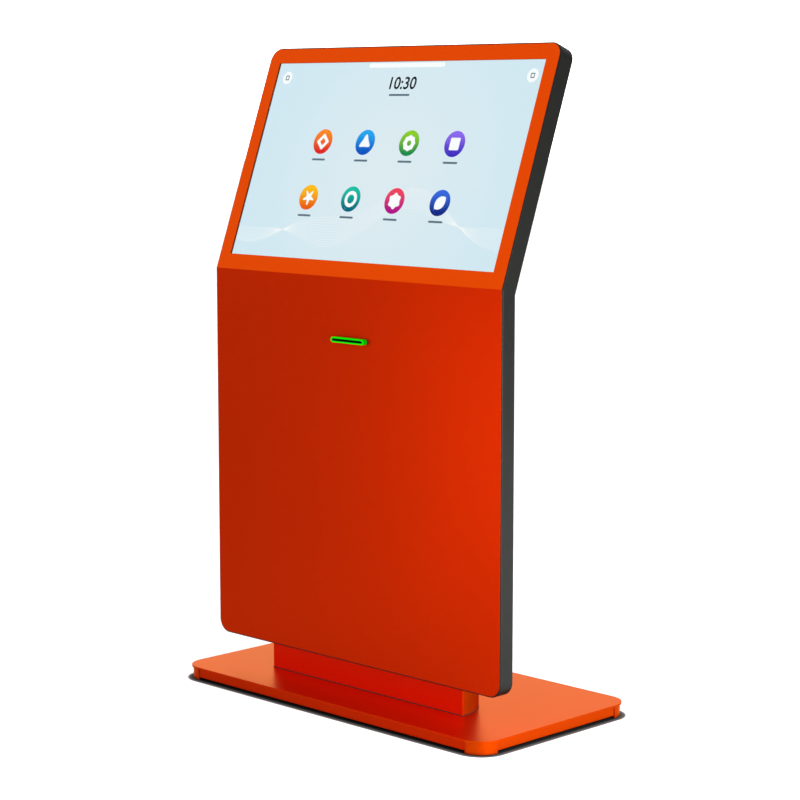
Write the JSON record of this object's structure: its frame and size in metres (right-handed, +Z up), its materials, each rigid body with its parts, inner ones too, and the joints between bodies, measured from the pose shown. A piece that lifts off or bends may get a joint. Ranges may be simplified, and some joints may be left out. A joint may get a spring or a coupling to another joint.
{
  "type": "interactive kiosk",
  "caption": "Floor-standing kiosk: folded slab with a tilted landscape touch screen and a lit receipt slot, on a D-section column with a service door and a flat base.",
  "frame": {"origin": "on the floor, under the middle of the base plate", "axes": "+X to the viewer's right along the slab's width, +Y from the screen side to the back, +Z up"},
  "size_m": [0.814, 0.412, 1.2419],
  "materials": {
    "orange_paint": "satin orange powder coat",
    "charcoal_paint": "satin charcoal powder coat",
    "bare_steel": "zinc-plated steel",
    "black_rubber": "moulded rubber",
    "black_plastic": "fine-grained black plastic",
    "unit_grey": "closed unit case",
    "supply_case": "plain aluminium case",
    "green_plastic": "clear-tinted glossy plastic",
    "gear_plastic": "moulded white plastic",
    "circuit_board": "solder-masked board",
    "paper": "coated paper",
    "screen_glass": "clear cover glass",
    "screen_cell": "lit display cell"
  },
  "bodies": {
    "kiosk": {"base_plate": "orange_paint", "base_skirts": "orange_paint", "corner_feet": "orange_paint", "foot_pads": "black_rubber", "column_flange": "bare_steel", "base_bolts": "bare_steel", "column_front": "orange_paint", "column_side_left": "orange_paint", "column_side_right": "orange_paint", "column_back": "orange_paint", "column_cap": "orange_paint", "door_frame": "charcoal_paint", "hinge_column_leaves": "bare_steel", "hinge_pins": "bare_steel", "front_panel": "orange_paint", "rear_panel": "orange_paint", "frame_left": "charcoal_paint", "frame_right": "charcoal_paint", "frame_top": "charcoal_paint", "frame_bottom": "charcoal_paint", "uprights": "bare_steel", "slab_bolts": "bare_steel", "rear_screws": "charcoal_paint", "glass_gasket": "black_rubber", "touch_glass": "screen_glass", "display_cell": "screen_cell", "display_case": "unit_grey", "display_rails": "bare_steel", "display_board": "circuit_board", "printer_bezel": "green_plastic", "bezel_clamp": "black_plastic", "printer_chassis": "bare_steel", "feed_motor": "black_plastic", "print_head": "bare_steel", "cutter_frame": "black_plastic", "printer_board": "circuit_board", "unit_screws": "bare_steel", "fan_frame": "black_plastic", "computer_case": "black_plastic", "computer_bracket": "bare_steel", "power_supply": "supply_case", "inlet_housing": "black_plastic", "inlet_pins": "bare_steel"},
    "door": {"service_door": "orange_paint", "hinge_door_leaves": "bare_steel", "lock_body": "bare_steel"},
    "lock": {"lock_plug": "bare_steel", "lock_cam": "bare_steel"},
    "roll": {"paper_roll": "paper", "roll_spindle": "black_plastic"},
    "platen": {"platen_shaft": "bare_steel", "platen_rubber": "black_rubber", "platen_gear": "gear_plastic"},
    "idler": {"idler_gear": "gear_plastic"},
    "pinion": {"motor_pinion": "bare_steel"},
    "cutter": {"cutter_blade": "bare_steel"},
    "fan": {"fan_rotor": "black_plastic"},
    "rocker": {"rocker_switch": "black_plastic"},
    "computer_key": {"power_button": "bare_steel"},
    "feed_key": {"feed_button": "green_plastic"}
  },
  "joints": [
    {"name": "door_swing", "type": "hinge", "parent": "kiosk", "child": "door", "pos_m": [-0.1345, 0.0118, 0.44258], "axis": [0, 0, 1], "range_deg": [0, 110]},
    {"name": "lock_turn", "type": "hinge", "parent": "door", "child": "lock", "pos_m": [0.1015, 0.0075, 0.44258], "axis": [0, 1, 0], "range_deg": [-90, 0]},
    {"name": "roll_spin", "type": "hinge", "parent": "kiosk", "child": "roll", "pos_m": [0, -0.04425, 0.607], "axis": [1, 0, 0], "continuous": true},
    {"name": "platen_spin", "type": "hinge", "parent": "kiosk", "child": "platen", "pos_m": [0, -0.0845, 0.6923], "axis": [1, 0, 0], "continuous": true},
    {"name": "idler_spin", "type": "hinge", "parent": "kiosk", "child": "idler", "pos_m": [0.0535, -0.06285, 0.6798], "axis": [1, 0, 0], "continuous": true},
    {"name": "pinion_spin", "type": "hinge", "parent": "kiosk", "child": "pinion", "pos_m": [0.0535, -0.04124, 0.67193], "axis": [1, 0, 0], "continuous": true},
    {"name": "cutter_slide", "type": "slide", "parent": "kiosk", "child": "cutter", "axis": [0, 0, 1], "range_m": [0, 0.007]},
    {"name": "fan_spin", "type": "hinge", "parent": "kiosk", "child": "fan", "pos_m": [0, -0.04425, 0.78016], "axis": [0, 0, 1], "continuous": true},
    {"name": "rocker_tilt", "type": "hinge", "parent": "kiosk", "child": "rocker", "pos_m": [0.015, 0.004, 0.075], "axis": [1, 0, 0], "range_deg": [-16, 0]},
    {"name": "computer_key_press", "type": "slide", "parent": "kiosk", "child": "computer_key", "axis": [0, -1, 0], "range_m": [0, 0.0015], "stiffness_N_per_m": 400},
    {"name": "feed_key_press", "type": "slide", "parent": "kiosk", "child": "feed_key", "axis": [0, -1, 0], "range_m": [0, 0.0012], "stiffness_N_per_m": 400}
  ],
  "couplings": [
    {"joint": "platen_spin", "follows": "roll_spin", "ratio": -5.3571},
    {"joint": "idler_spin", "follows": "roll_spin", "ratio": 4.2092},
    {"joint": "pinion_spin", "follows": "roll_spin", "ratio": -6.5476}
  ]
}
